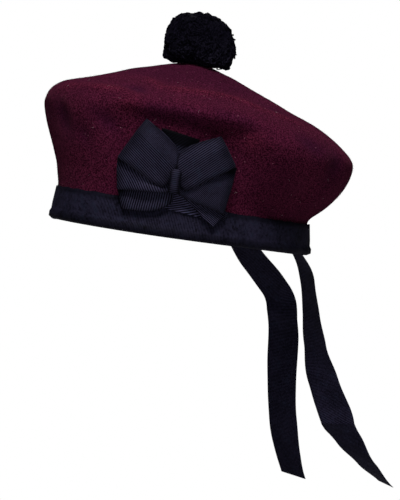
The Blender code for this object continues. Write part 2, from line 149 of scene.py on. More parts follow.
# Where the headband hangs lower or stands out further than the construction
DROOP = 0.0018
DROOP_TURN = radians(318)
DROOP_REACH = 0.40
FRONT_DROP = 0.0014
FRONT_TURN = radians(18)
BACK_PUFF = 0.0012
BACK_TURN = radians(140)

FELT_SKIN = BAND_LEAF + CLEARANCE + FELT_WALL
BAND_SKIN = FELT_SKIN + CLEARANCE + BAND_LEAF
LAYER = RIBBON_WALL + CLEARANCE
COCKADE_HEIGHT = BAND_HEIGHT + COCKADE_RISE
COCKADE_LIFT = 2 * CLEARANCE
LEAN = Matrix.Rotation(WORN_TILT, 4, "X")

# Cockade loops and the flat pieces of one layer, as in the construction
Loop = namedtuple("Loop", "name angle reach tip root swell skew root_layer tip_layer puff")
LOOPS = [
    Loop("loop_up_behind", 91, 0.79, 0.75, 0.38, 0.00, -11, 0.0, 3.0, 0.040),
    Loop("loop_low_front", 208, 0.91, 0.44, 0.40, 0.26, -9, 2.15, 0.8, 0.060),
    Loop("loop_mid_front", 181, 0.84, 0.70, 0.50, 0.00, 2, 4.0, 3.9, 0.060),
    Loop("loop_high_front", 137, 0.88, 1.00, 0.52, -0.10, 17, 6.0, 7.0, 0.080),
    Loop("loop_low_back", -1, 0.90, 1.06, 0.40, 0.00, -3, 4.0, 3.6, 0.070),
    Loop("loop_high_back", 41, 0.95, 0.72, 0.56, 0.16, -6, 6.0, 7.0, 0.075),
]
Leaf = namedtuple("Leaf", "name angle reach tip root swell skew root_layer tip_layer")
LEAVES = [
    Leaf("pleat_below", -77, 0.51, 1.03, 0.20, 0.00, -19, 0.0, 0.0),
    Leaf("tail_under", -26, 1.07, 0.22, 0.22, 0.00, 6, 2.0, 1.2),
    Leaf("tail_over", -35, 0.98, 0.34, 0.26, 0.00, -3, 3.0, 2.3),
]

# Cloth of each cockade piece. ribs is the angle between its ribs and its length in degrees, pitch
# the distance from rib to rib, and tone its painted light and shade as a whole, paler
# over 1 and darker under it. A crease runs out from the knot at crease, from one edge at -1 to the
# other at 1, raised by crease_lift, with fan more ribs a metre between it and the edge at -1. lip
# raises the edge at 1. dim is the share of the width under painted shadow, at the
# edge at -1, or at the edge at 1 where it is under zero. end is how dark its outer half is, as
# painted shade.
Cloth = namedtuple("Cloth", "ribs pitch tone crease crease_lift fan lip dim end")
CLOTHS = {
    "loop_up_behind": Cloth(-41, 0.0015, 1.00, 0.0, 0.0004, 0, 0.0, 0.35, 0.93),
    "loop_low_front": Cloth(60, 0.0015, 0.90, 0.3, 0.0006, 0, 0.0, 0.34, 0.0),
    "loop_mid_front": Cloth(-63, 0.0014, 1.05, -0.2, 0.0014, 0, 0.0028, 0.20, 0.0),
    "loop_high_front": Cloth(-3, 0.0013, 1.00, -0.4, 0.0026, 420, 0.0, 0.0, 0.0),
    "loop_low_back": Cloth(58, 0.0010, 1.05, 0.2, 0.0012, 0, 0.0, -0.22, 0.0),
    "loop_high_back": Cloth(6, 0.0013, 1.00, 0.35, 0.0022, 0, 0.0, 0.0, 0.0),
    "pleat_below": Cloth(-71, 0.0015, 1.6, 0.0, 0.0, 0, 0.0, 0.0, 0.0),
    "tail_under": Cloth(4, 0.0012, 0.7, 0.0, 0.0, 0, 0.0, 0.0, 0.0),
    "tail_over": Cloth(4, 0.0012, 1.2, 0.0, 0.0, 0, 0.0, 0.0, 0.0),
}

# Ties: along is the share of TIE_LENGTH; lean and swing are the way the ribbon runs, in degrees
# off straight down, to the back and to the wearer's left; facing turns its width, in degrees
# from the wearer's left towards the back.
TieBend = namedtuple("TieBend", "along lean swing facing")
TIE_LEFT_BENDS = [
    TieBend(0.00, 32, 8, -24),
    TieBend(0.12, 6, 4, -16),
    TieBend(0.24, 4, 3, -10),
    TieBend(0.36, 9, 4, -3),
    TieBend(0.50, 18, 6, 30),
    TieBend(0.64, 23, 9, 44),
    TieBend(0.76, 31, 13, 18),
    TieBend(0.88, 39, 17, 2),
    TieBend(1.00, 45, 20, -20),
]
TIE_RIGHT_BENDS = [
    TieBend(0.00, 28, 10, 19),
    TieBend(0.10, 37, 17, 24),
    TieBend(0.20, 33, 15, 28),
    TieBend(0.32, 4, 1, 30),
    TieBend(0.46, -3, -1, 28),
    TieBend(0.60, 1, -1, 24),
    TieBend(0.74, 10, -4, 18),
    TieBend(0.88, 20, -7, 12),
    TieBend(1.00, 28, -9, 8),
]

# How finely a tie is worked out, and how far its edges wave
TIE_FRAMES = 64
TIE_COLUMNS = 12
TIE_WAVE = 0.0006

# Each tie's soft crease: where along the tie and how far it reaches, as shares of its length, and
# how far it stands out. CREASE_SLOPE is how much further along it lies at one edge.
CREASE_SLOPE = 0.021
Crease = namedtuple("Crease", "along rise reach")
TIE_CREASES = {
    "tie_left": Crease(0.675, 0.0034, 0.060),
    "tie_right": Crease(0.330, 0.0022, 0.070),
}

# Pompom: its strands and loose ends, how far each keeps off the felt, and where its head bulges,
# each as degrees off the view's azimuth, degrees up and metres
STRAND_THICKNESS = 0.00040
STRAND_LENGTH = 0.0095
STRAND_STEPS = 11
STRAND_COUNT = 1450
STRAND_ROOM = 0.0016
STRAND_HUMP = (0.0002, 0.0014)
STRAND_SINK = 0.0001
SWIRL_SIZE = 0.0085
CORE_DEPTH = 0.0009
CORE_ROOM = 0.0005
CORE_HOLD = 0.0060
STRAY_THICKNESS = 0.00010
STRAY_LENGTH = (0.0018, 0.0036)
STRAY_COUNT = 70
STRAY_ROOM = 0.0040
STRAY_BENDS = (0.5, -0.6, 0.9)
YARN_BULGES = (
    (-90, 64, 0.0010),
    (90, 60, 0.0012),
    (-90, -40, 0.0022),
    (66, -56, 0.0022),
    (25, -56, 0.0026),
)

# Loose fibres on the felt: how many, their shortest and longest length, and their thickness.
# FUZZ_FOOT is how far over the band they start.
Fibres = namedtuple("Fibres", "name count shortest longest thickness")
FUZZ = Fibres("felt_fuzz", 9000, 0.0008, 0.0022, 0.000035)
LINT = Fibres("felt_lint", 90, 0.0008, 0.0034, 0.00007)
FIBRE_BENDS = (0.25, 0.5, -0.4)
FUZZ_FOOT = 0.0015

# Colours of the felt, between its fibres and on them, as painted shade where it is sunk and as a
# painted highlight where it is raised
PAINTED_SHADE_FELT = ((0.0105, 0.0014, 0.0058), (0.050, 0.0076, 0.0300))
PAINTED_LIGHT_FELT = ((0.0170, 0.0014, 0.0058), (0.138, 0.0176, 0.0412))
CLOUDED_FELT = (0.030, 0.0040, 0.0155)
FUZZ_SHADES = ((0.020, 0.0016, 0.0055), (0.110, 0.0130, 0.0300))
FLECK_SHADE = (0.40, 0.16, 0.22)
LINT_SHADE = (0.50, 0.33, 0.38)

# Colours of the yarn: between its hairs, and on them low down, painted paler as painted light where
# shade falls, and at the top, painted darker as painted shade. YARN_PAINTED_LIGHT_RISE holds the
# heights that it pales between.
YARN_DARK = (0.0003, 0.0003, 0.0010)
YARN_PAINTED_LIGHT_LOW = (0.0170, 0.0155, 0.0290)
YARN_PAINTED_SHADE_HIGH = (0.0050, 0.0043, 0.0098)
YARN_PAINTED_LIGHT_RISE = (0.124, 0.148)

# Ribbon finishes: the colours between the ribs and on them, how strongly the ribs show, and the
# size of the mottling. COOL_CAST tints the pale colour in places.
COOL_CAST = (0.75, 1.0, 0.95)
Ribbon = namedtuple("Ribbon", "name dark light ribs fleck")
COCKADE_FINISH = Ribbon(
    "cockade_grosgrain", (0.0004, 0.0004, 0.0012), (0.0350, 0.0325, 0.0660), 0.6, 0.0011
)
BAND_FINISH = Ribbon(
    "band_grosgrain", (0.0008, 0.0008, 0.0022), (0.0165, 0.0153, 0.0330), 0.22, 0.0022
)
# The ties' finish is the band's ribbon painted paler, as painted light where less light reaches them
# low down.
TIE_PAINTED_LIGHT_FINISH = Ribbon(
    "tie_grosgrain_painted_light", (0.0020, 0.0018, 0.0054), (0.0205, 0.0185, 0.0420), 0.3, 0.0014
)

# The felt keeps still at the band and moves freely FELT_HOLD over it. FELT_SWELL makes up for the
# smoothing, which draws it in. Its small lumps are a height and how many to a metre. Its painted
# light and shade is marked from 0, painted shade where it is sunk, to 1, painted highlight where it
# is raised, and is lower, with more painted shade, on the flat top.
FELT_HOLD = 0.012
FELT_SWELL = 0.0011
FINE_LUMPS = (0.00022, 130)
COARSE_LUMPS = (0.00035, 45)
PAINTED_LIGHT_LEVEL = 0.44
PAINTED_SHADE_TOP = 0.20
PAINTED_LIGHT_DENT = 0.0055

# Dents in the felt, beyond those of the construction: each runs between two places, given as a
# turn and a rise in degrees seen from the crown's heart. width and depth are in metres, and a
# depth under zero is a ridge.
HEART = Vector((0.0, 0.0, BAND_HEIGHT + 0.030))
Dent = namedtuple("Dent", "turn_from rise_from turn_to rise_to width depth")
DENTS = [
    Dent(-17, 19.7, -1.5, 21.9, 0.007, -0.0018),
    Dent(-1.5, 21.9, 18, 22.2, 0.007, -0.0026),
    Dent(18, 22.2, 27, 20.0, 0.006, -0.0014),
    Dent(13.8, 38.5, 31, 29.5, 0.006, -0.0020),
    Dent(31, 29.5, 44, 30.5, 0.008, -0.0026),
    Dent(44, 30.5, 57, 33.0, 0.007, -0.0026),
    Dent(57, 33.0, 71, 33.0, 0.006, -0.0024),
    Dent(71, 33.0, 81, 28.0, 0.006, -0.0020),
    Dent(81, 28.0, 106, 22.0, 0.006, -0.0020),
    Dent(16.5, 27.0, 26, 23.5, 0.007, 0.0024),
    Dent(27, 15.4, 43, 16.5, 0.009, 0.0014),
    Dent(43, 16.5, 51, 16.6, 0.009, 0.0013),
    Dent(55, 18.7, 64, 19.5, 0.008, 0.0013),
    Dent(64, 19.5, 72, 17.0, 0.008, 0.0012),
    Dent(-13, 13.0, -2.7, 6.0, 0.013, 0.0032),
    Dent(11.4, 12.2, 19, 8.0, 0.009, 0.0020),
    Dent(3, 7.0, 7.5, 2.0, 0.009, 0.0016),
    Dent(90, 14.5, 104, 11.0, 0.012, 0.0026),
    Dent(109, 13.0, 116, 3.0, 0.016, 0.0024),
    Dent(86, 36.0, 100, 31.0, 0.006, 0.0015),
    Dent(20, 17.0, 29, 17.0, 0.008, -0.0016),
    Dent(67, 14.0, 77, 11.0, 0.011, -0.0020),
    Dent(146, 20.0, 178, 25.0, 0.014, -0.0013),
    Dent(158, 8.0, 192, 12.0, 0.017, 0.0013),
    Dent(208, 12.0, 246, 17.0, 0.017, 0.0014),
    Dent(258, 22.0, 292, 20.0, 0.013, -0.0013),
    Dent(284, 8.0, 312, 13.0, 0.016, 0.0013),
    Dent(322, 16.0, 344, 9.0, 0.013, 0.0013),
    Dent(196, 45.0, 244, 39.0, 0.013, -0.0012),
    Dent(296, 41.0, 336, 48.0, 0.013, -0.0012),
    Dent(112, 44.0, 136, 27.0, 0.026, -0.0012),
]


def toward(azimuth, elevation):
    """The way from the bonnet to a camera or lamp that looks at it from these angles."""
    across = radians(azimuth)
    up = radians(elevation)
    return Vector((sin(across) * cos(up), -cos(across) * cos(up), sin(up)))


def smooth_step(value):
    """Eases from 0 to 1 as the value goes from 0 to 1."""
    value = min(max(value, 0.0), 1.0)
    return value * value * (3 - 2 * value)


def heading(turn):
    """The level way out from the axis at a turn."""
    return Vector((sin(turn), -cos(turn), 0.0))


def waver(turn, waves, stray, slow):
    """An uneven wave round the hat, from -1 to 1."""
    return sin(turn * waves + stray * sin(turn * slow))


def band_radius(turn, height, skin):
    """Distance from the axis to a layer of the band, counted outwards from its inner face."""
    half_width = HEAD_WIDTH / 2
    half_length = HEAD_LENGTH / 2
    oval = half_width * half_length / hypot(half_length * sin(turn), half_width * cos(turn))
    flare = BAND_FLARE_FRONT + (BAND_FLARE_BACK - BAND_FLARE_FRONT) * (1 - cos(turn)) / 2
    return oval + skin - height * tan(flare)


def on_wall(across, up, lift):
    """A point over the hat's wall, by its place in the cockade and its lift off the wall."""
    turn = COCKADE_TURN + across / band_radius(COCKADE_TURN, BAND_HEIGHT, BAND_SKIN)
    height = COCKADE_HEIGHT + up
    rise = max(0.0, height - BAND_HEIGHT)
    wall = band_radius(turn, min(height, BAND_HEIGHT), BAND_SKIN) + COCKADE_LEAN * rise
    return LEAN @ (heading(turn) * (wall + COCKADE_LIFT + lift) + Vector((0, 0, height)))


class Value:
    """A number that varies over a surface. Arithmetic on it adds Math nodes."""

    def __init__(self, shader, socket):
        self.shader = shader
        self.socket = socket

    def math(self, operation, first, second):
        return self.shader.add("ShaderNodeMath", {"operation": operation}, {0: first, 1: second})

    def __add__(self, other):
        return self.math("ADD", self, other)

    def __radd__(self, other):
        return self.math("ADD", other, self)

    def __sub__(self, other):
        return self.math("SUBTRACT", self, other)

    def __rsub__(self, other):
        return self.math("SUBTRACT", other, self)

    def __mul__(self, other):
        return self.math("MULTIPLY", self, other)

    def __rmul__(self, other):
        return self.math("MULTIPLY", other, self)

    def __gt__(self, other):
        return self.math("GREATER_THAN", self, other)

    def __lt__(self, other):
        return self.math("LESS_THAN", self, other)


class Shader:
    """The nodes of a material or of the world, added one by one."""

    def __init__(self, owner):
        owner.use_nodes = True
        self.tree = owner.node_tree

    def add(self, kind, settings, inputs, output=0):
        """Adds a node of one type, with its settings and then the values or links of its sockets."""
        node = self.tree.nodes.new(kind)
        for name, value in settings.items():
            setattr(node, name, value)
        for name, value in inputs.items():
            if isinstance(value, Value):
                self.tree.links.new(value.socket, node.inputs[name])
            else:
                node.inputs[name].default_value = value
        return Value(self, node.outputs[output])

    def feed(self, value, node, socket):
        """Links a value to a socket of one of the nodes that were there from the start."""
        self.tree.links.new(value.socket, self.tree.nodes[node].inputs[socket])


class Finish(Shader):
    """A material on one surface shader."""

    def __init__(self, name, roughness, gloss, sheen, sheen_tint, sheen_roughness=0.4):
        self.material = bpy.data.materials.new(name)
        super().__init__(self.material)
        surface = self.tree.nodes["Principled BSDF"]
        surface.inputs["Roughness"].default_value = roughness
        surface.inputs["Sheen Weight"].default_value = sheen
        surface.inputs["Sheen Tint"].default_value = (*sheen_tint, 1.0)
        surface.inputs["Sheen Roughness"].default_value = sheen_roughness
        surface.inputs["Specular IOR Level"].default_value = gloss
        self.surface = surface

    def place(self):
        """The place on the piece, in metres."""
        return self.add("ShaderNodeTexCoord", {}, {}, "Object")

    def marked(self, name):
        """The value that a piece's points carry under a name."""
        return self.add("ShaderNodeAttribute", {"attribute_name": name}, {}, "Fac")

    def map(self, name):
        """A piece's own map: cut is the place on the flat cloth, and rib counts the ribs."""
        return self.add("ShaderNodeUVMap", {"uv_map": name}, {})

    def noise(self, place, size, detail=2.0, roughness=0.5):
        """Soft noise from 0 to 1 with grains about as big as size."""
        inputs = {"Vector": place, "Scale": 1 / size, "Detail": detail, "Roughness": roughness}
        return self.add("ShaderNodeTexNoise", {}, inputs)

    def sharpen(self, value, low, high):
        """Spreads the values from low to high over 0 to 1."""
        inputs = {"Value": value, "From Min": low, "From Max": high}
        return self.add("ShaderNodeMapRange", {"clamp": True}, inputs)

    def blend(self, factor, first, second, clamp=True):
        """Mixes two colours; without the clamp, a factor over 1 goes past the second."""
        settings = {"data_type": "RGBA", "clamp_factor": clamp}
        colours = [c if isinstance(c, Value) else (*c, 1.0) for c in (first, second)]
        return self.add("ShaderNodeMix", settings, {0: factor, 6: colours[0], 7: colours[1]}, 2)

    def paint(self, colour):
        """Gives the surface its colour."""
        self.feed(colour, "Principled BSDF", "Base Color")

    def roughen(self, height, depth, strength=1.0):
        """Gives the surface a grain that stands depth high where height is 1."""
        inputs = {"Height": height, "Distance": depth, "Strength": strength}
        self.feed(self.add("ShaderNodeBump", {}, inputs), "Principled BSDF", "Normal")


def felt_finish():
    """Fulled knitted wool: matt and mottled, a few pale flecks, painted highlight where raised, painted
    shade where sunk.
    """
    felt = Finish("felt", 0.95, 0.0, 0.04, (0.80, 0.25, 0.40), 0.5)
    place = felt.place()
    fleece = felt.noise(place, 0.0011, 1.0)
    hairs = felt.noise(place, 0.0007, 1.0)
    cloud = felt.noise(place, 0.022, 3.0, 0.55)
    coat = fleece * 0.5 + hairs * 0.5
    grain = felt.sharpen(coat, 0.42, 0.58)
    # Painted shade where the felt is sunk and painted highlight where it is raised, mixed by the mark.
    sunk = felt.blend(grain, *PAINTED_SHADE_FELT)
    raised = felt.blend(grain, *PAINTED_LIGHT_FELT)
    colour = felt.blend(felt.marked("painted_fold_light"), sunk, raised)
    colour = felt.blend(felt.sharpen(cloud, 0.35, 0.65) * 0.35, colour, CLOUDED_FELT)
    cells = {"Vector": place, "Scale": 1 / 0.0036}
    speck = felt.add("ShaderNodeTexVoronoi", {}, cells, "Distance") < 0.10
    pick = felt.add("ShaderNodeTexVoronoi", {}, cells, "Color")
    chosen = felt.add("ShaderNodeSeparateColor", {}, {"Color": pick}, "Red") > 0.82
    felt.paint(felt.blend(speck * chosen * 0.5, colour, FLECK_SHADE))
    felt.roughen(coat, 0.00062)
    return felt.material


def fuzz_finish():
    """The felt's loose fibres, paler in tufts."""
    fuzz = Finish("fuzz", 0.9, 0.0, 0.0, (1.0, 1.0, 1.0))
    tuft = fuzz.noise(fuzz.place(), 0.003)
    fuzz.paint(fuzz.blend(fuzz.sharpen(tuft, 0.4, 0.6), *FUZZ_SHADES))
    return fuzz.material


def grosgrain_finish(look):
    """Ribbed ribbon: pale on the ribs and dark between them, partly the weave and partly painted shade
    in the grooves. The ribs are in the mesh too.

    The painted light and shade that the mesh carries darkens it as painted shade, down to the dark
    colour where it is 0, and pales it as painted light where it is over 1.
    """
    ribbon = Finish(look.name, 0.65, 0.04, 0.02, (0.45, 0.45, 0.80), 0.35)
    place = ribbon.place()
    dust = ribbon.noise(place, look.fleck, 2.0, 0.6)
    cloud = ribbon.noise(place, 0.010)
    tint = ribbon.noise(place, 0.005)
    count = ribbon.add("ShaderNodeSeparateXYZ", {}, {"Vector": ribbon.map("rib")})
    rib = ribbon.add("ShaderNodeMath", {"operation": "COSINE"}, {0: count * (2 * pi)})
    spread = look.ribs * 0.6
    grain = ribbon.sharpen(rib * look.ribs + dust * 0.9 + cloud * 0.5, 0.7 - spread, 0.7 + spread)
    colour = ribbon.blend(grain, look.dark, look.light)
    cool = tuple(c * w for c, w in zip(look.light, COOL_CAST))
    colour = ribbon.blend(ribbon.sharpen(tint, 0.55, 0.70) * grain * 0.7, colour, cool)
    # Painted light and shade from the mesh: towards the dark colour as painted shade, past the colour
    # as painted light.
    ribbon.paint(ribbon.blend(ribbon.marked("tone"), look.dark, colour, clamp=False))
    ribbon.roughen(dust, 0.0003, 0.5)
    return ribbon.material


def yarn_finish():
    """Matt dark yarn, painted palest low on the pompom as painted light and darker on top as painted
    shade.
    """
    yarn = Finish("yarn", 0.8, 0.02, 0.02, (0.4, 0.4, 0.8))
    place = yarn.place()
    hairs = yarn.noise(place, 0.0011, 2.0, 0.6)
    height = yarn.add("ShaderNodeSeparateXYZ", {}, {"Vector": place}, "Z")
    # Painted light on the hairs low on the pompom and painted shade at its top, by height.
    light = yarn.blend(yarn.sharpen(height, *YARN_PAINTED_LIGHT_RISE), YARN_PAINTED_LIGHT_LOW, YARN_PAINTED_SHADE_HIGH)
    yarn.paint(yarn.blend(yarn.sharpen(hairs, 0.43, 0.60), YARN_DARK, light))
    yarn.roughen(hairs, 0.0004, 0.7)
    return yarn.material


def lint_finish():
    """Pale bits of lint."""
    lint = Finish("lint", 0.9, 0.1, 0.1, (1.0, 1.0, 1.0))
    grain = lint.noise(lint.place(), 0.002)
    lint.paint(lint.blend(grain, tuple(0.9 * c for c in LINT_SHADE), LINT_SHADE))
    return lint.material


def put(name, data):
    """Puts a new object with this mesh, lens or lamp in the scene."""
    thing = bpy.data.objects.new(name, data)
    bpy.context.scene.collection.objects.link(thing)
    return thing


def mesh_of(name, shape):
    """Turns a finished bmesh into a mesh."""
    mesh = bpy.data.meshes.new(name)
    shape.to_mesh(mesh)
    shape.free()
    return mesh


def add_piece(name, mesh, material):
    """Puts a finished mesh in the scene, on the one body."""
    piece = put(name, mesh)
    mesh.materials.clear()
    mesh.materials.append(material)
    mesh.shade_smooth()
    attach(piece, "root")
    return piece


def add_ribbon(node, mesh, material, thickness=RIBBON_CLOTH):
    """Puts a ribbon in the scene in place of a construction solid, and gives it a thickness."""
    ribbon = add_piece(node + "_ribbon", mesh, material)
    wall = ribbon.modifiers.new("Wall", "SOLIDIFY")
    wall.thickness = thickness
    wall.offset = 0.0
    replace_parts(ribbon, node)
    return ribbon


def no_painted_shading(u, v):
    """No painted light or shade: the ribbon is as pale all over."""
    return 1.0


def ribbon_mesh(name, columns, rows, place, count, depth, size, tone=no_painted_shading, closed=False):
    """A grid whose points lie where place(u, v) says, with ribs that rise by depth.

    u goes across and v along, from 0 to 1. count(u, v) is the number of ribs passed on the way
    there, the shading function the painted light and shade on the cloth, and size the flat cloth's
    width and length. A closed ribbon meets itself at its sides.
    """
    shape = bmesh.new()
    bmesh.ops.create_grid(shape, x_segments=columns, y_segments=rows, size=0.5)
    cut = shape.loops.layers.uv.new("cut")
    rib = shape.loops.layers.uv.new("rib")
    # The painted light and shade at each point, which the finish reads.
    pale = shape.verts.layers.float.new("tone")
    spots = {vertex: (vertex.co.x + 0.5, vertex.co.y + 0.5) for vertex in shape.verts}
    for face in shape.faces:
        for corner in face.loops:
            u, v = spots[corner.vert]
            corner[cut].uv = (u * size[0], v * size[1])
            corner[rib].uv = (count(u, v), v)
    for vertex, (u, v) in spots.items():
        vertex.co = place(u, v)
        vertex[pale] = tone(u, v)
    if closed:
        bmesh.ops.remove_doubles(shape, verts=shape.verts, dist=1e-6)
    shape.normal_update()
    for vertex in shape.verts:
        vertex.co += vertex.normal * depth * cos(2 * pi * count(*spots[vertex]))
    bmesh.ops.recalc_face_normals(shape, faces=shape.faces)
    return mesh_of(name, shape)


def make_headband(material):
    """One ribbon folded up over the felt's edge, outside and inside, with upright ribs."""
    leaf = BAND_LEAF / 2
    fold = (BAND_SKIN - BAND_LEAF) / 2
    straight = BAND_HEIGHT - leaf - fold
    length = 2 * straight + pi * fold
    turns = [2 * pi * i / BAND_STEPS for i in range(BAND_STEPS + 1)]
    rim = [heading(turn) * band_radius(turn, 0.0, BAND_SKIN) for turn in turns]
    gone = [0.0]
    for before, after in zip(rim, rim[1:]):
        gone.append(gone[-1] + (after - before).length)
    girth = gone[-1]
    count = round(girth / BAND_PITCH)

    def place(u, v):
        turn = float(np.interp(u * girth, gone, turns))
        run = v * length
        if run < straight:
            skin = leaf
            height = BAND_HEIGHT - run
        elif run < length - straight:
            angle = (run - straight) / fold
            skin = leaf + fold * (1 - cos(angle))
            height = leaf + fold * (1 - sin(angle))
        else:
            skin = BAND_SKIN - leaf
            height = BAND_HEIGHT - (length - run)
        pucker = PUCKER * waver(turn, 23, 3, 5) * sin(pi * v)
        edge = EDGE_WAVE * waver(turn, 31, 2, 7) * smooth_step(v * 4 - 3)
        outside = smooth_step((skin - leaf) / fold - 0.5)
        roll = ROLL_SIZE * (0.8 + 0.2 * waver(turn, 13, 2, 3)) * outside
        skin += roll * smooth_step(1.35 - abs(height - ROLL_RISE) / ROLL_REACH)
        skin -= 0.5 * roll * smooth_step(1.2 - abs(height - GROOVE_RISE) / GROOVE_REACH)
        drop = ROLL_SIZE * smooth_step(1 - height / ROLL_DROP)
        low = DROOP * smooth_step(1.1 - abs(turn - DROOP_TURN) / DROOP_REACH)
        low += FRONT_DROP * max(0.0, cos(turn - FRONT_TURN)) ** 2
        drop += low * (1 - height / BAND_HEIGHT)
        skin += BACK_PUFF * outside * max(0.0, cos(turn - BACK_TURN)) ** 2
        point = heading(turn) * band_radius(turn, height, skin + pucker)
        return LEAN @ (point + Vector((0, 0, height + edge - drop)))

    def ribs(u, v):
        return count * u

    def tone(u, v):
        # Painted shadow along the top edge and painted shade over the roll at the lower edge.
        top = smooth_step((v - PAINTED_TOP_SHADOW_START) / PAINTED_TOP_SHADOW_REACH)
        low = smooth_step(1.3 - (v * length - length + straight) / ROLL_SHADE)
        low *= smooth_step(v * 4 - 1)
        return 1.05 - 0.75 * top - 0.60 * low

    columns = count * RIB_CUTS
    size = (girth, length)
    mesh = ribbon_mesh("headband_ribbon", columns, BAND_ROWS, place, ribs, BAND_DEPTH, size, tone, True)
    band = add_ribbon("headband", mesh, material, BAND_CLOTH)


def cockade_width(piece, distance, off):
    """How far a point of a cockade ribbon lies off its middle line."""
    share = min(distance / (piece.reach * COCKADE_SPAN), 1.0)
    half = (piece.root + (piece.tip - piece.root) * share ** ROOT_FLARE) * COCKADE_RIBBON / 2
    swell = piece.swell * COCKADE_RIBBON * sin(pi * share ** SWELL_PLACE)
    return off * half + (swell * abs(off) if off * swell > 0 else 0.0)


def cockade_place(piece, distance, lift, off):
    """A point of a cockade ribbon, off from -1 at one edge to 1 at the other."""
    share = min(distance / (piece.reach * COCKADE_SPAN), 1.0)
    angle = radians(piece.angle)
    side = 1 if cos(angle) > 0 else -1
    edge = radians(piece.angle + 90 + piece.skew * share)
    out = cockade_width(piece, distance, off)
    across = distance * cos(angle) + out * cos(edge)
    up = distance * sin(angle) + out * sin(edge)
    if abs(cos(angle)) > 0.5:
        across = side * max(side * across, CLEARANCE)
    return on_wall(across, up, lift)


def cockade_ribs(piece, distance, off):
    """How many ribs lie between a point of a cockade ribbon and the knot."""
    cloth = CLOTHS[piece.name]
    slant = radians(cloth.ribs)
    out = cockade_width(piece, distance, off)
    beyond = min(0.0, out - cockade_width(piece, distance, cloth.crease))
    return (out * cos(slant) - distance * sin(slant)) / cloth.pitch + beyond * cloth.fan


def loop_path(loop, v):
    """How far out a loop's ribbon is and how far off the wall, at a share of its length.

    The third value is the share of the way out, and the fourth 1 on the outer face and 0 under it.
    """
    start = KNOT_WIDTH * ROOT_START
    bend = loop.puff * COCKADE_SPAN / 2
    low_root = loop.root_layer * LAYER + RIBBON_WALL / 2
    low_tip = loop.tip_layer * LAYER + RIBBON_WALL / 2
    straight = loop.reach * COCKADE_SPAN - bend
    run = v * (2 * (straight - start) + pi * bend)
    if run < straight - start:
        share = run / (straight - start)
        lift = low_root + LAYER + (low_tip + 2 * bend - low_root - LAYER) * smooth_step(share)
        return start + run, lift, share, 1.0
    run -= straight - start
    if run < pi * bend:
        angle = run / bend
        over = 1 + cos(angle)
        return straight + bend * sin(angle), low_tip + bend * over, 1.0, over / 2
    run -= pi * bend
    share = max(0.0, 1 - run / (straight - start))
    lift = low_root + (low_tip - low_root) * smooth_step(share)
    return start + share * (straight - start), lift, share, 0.0


def cockade_mesh(piece, width, length, place, ribs, tone):
    """A cockade ribbon, with RIB_CUTS faces to each rib, whichever way the ribs run."""
    cloth = CLOTHS[piece.name]
    slant = radians(cloth.ribs)
    columns = max(24, round(RIB_CUTS * width * (abs(cos(slant)) / cloth.pitch + cloth.fan / 3)))
    rows = max(36, round(RIB_CUTS * length * abs(sin(slant)) / cloth.pitch))
    name = piece.name + "_ribbon"
    return ribbon_mesh(name, columns, rows, place, ribs, RIB_DEPTH, (width, length), tone)


def make_loop(loop, material):
    """A length of ribbon that runs out from the knot, turns back and returns under itself."""
    bend = loop.puff * COCKADE_SPAN / 2
    reach = loop.reach * COCKADE_SPAN
    length = 2 * (reach - bend - KNOT_WIDTH * ROOT_START) + pi * bend
    width = max(loop.tip, loop.root) * COCKADE_RIBBON
    cloth = CLOTHS[loop.name]

    def place(u, v):
        distance, lift, share, outer = loop_path(loop, v)
        off = 2 * u - 1
        fold = max(0.0, 1 - abs(off - cloth.crease) / 0.55)
        shaping = cloth.crease_lift * fold * share * (1 - 0.3 * share)
        shaping += ROOT_RIPPLE * (1 - share) ** 2 * cos(3 * pi * off)
        shaping += LOOP_CROWN * sin(pi * share) * (1 - off * off) - LOOP_CROWN * share * off ** 4
        shaping += cloth.lip * smooth_step((off - 0.2) / 0.8) * sin(pi * min(share * 1.2, 1.0))
        return cockade_place(loop, distance, lift + shaping * outer, off)

    def ribs(u, v):
        return cockade_ribs(loop, loop_path(loop, v)[0], 2 * u - 1)

    def tone(u, v):
        # Painted shade: darker at the edges and at the fold of the tip, near the knot, along the
        # shadowed edge and over the outer end, on top of the piece's painted light and shade.
        share = loop_path(loop, v)[2]
        rim = max(smooth_step((abs(2 * u - 1) - 0.72) / 0.28), smooth_step((share - 0.84) / 0.16))
        side = u if cloth.dim > 0 else 1 - u
        dark = smooth_step(1.6 - 1.6 * side / abs(cloth.dim)) if cloth.dim else 0.0
        root = smooth_step((0.25 - share) / 0.25)
        end = cloth.end * smooth_step((share - 0.62) / 0.20)
        return cloth.tone * (1 - 0.5 * rim) * (1 - 0.6 * root) * (1 - 0.92 * dark) * (1 - end)

    piece = add_ribbon(loop.name, cockade_mesh(loop, width, length, place, ribs, tone), material)
    mean = loop.root + (loop.tip - loop.root) / (1 + ROOT_FLARE) + SWELL_SHARE * abs(loop.swell)
    area = length * COCKADE_RIBBON * mean
    flat_width = max(width, area / length)


def make_leaf(leaf, material):
    """One layer of ribbon that runs out from the knot to a cut end."""
    reach = leaf.reach * COCKADE_SPAN
    start = KNOT_WIDTH * ROOT_START
    root = leaf.root_layer * LAYER + RIBBON_WALL / 2
    tip = leaf.tip_layer * LAYER + RIBBON_WALL / 2
    length = reach - start
    width = max(leaf.tip, leaf.root) * COCKADE_RIBBON

    def place(u, v):
        off = 2 * u - 1
        lift = root + (tip - root) * smooth_step(v) + ROOT_RIPPLE * (1 - v) ** 2 * cos(3 * pi * off)
        return cockade_place(leaf, start + length * v, lift, off)

    def ribs(u, v):
        return cockade_ribs(leaf, start + length * v, 2 * u - 1)

    def tone(u, v):
        # Painted shade near the knot, on top of the piece's painted light and shade.
        return CLOTHS[leaf.name].tone * (1 - 0.6 * smooth_step((0.3 - v) / 0.3))

    piece = add_ribbon(leaf.name, cockade_mesh(leaf, width, length, place, ribs, tone), material)


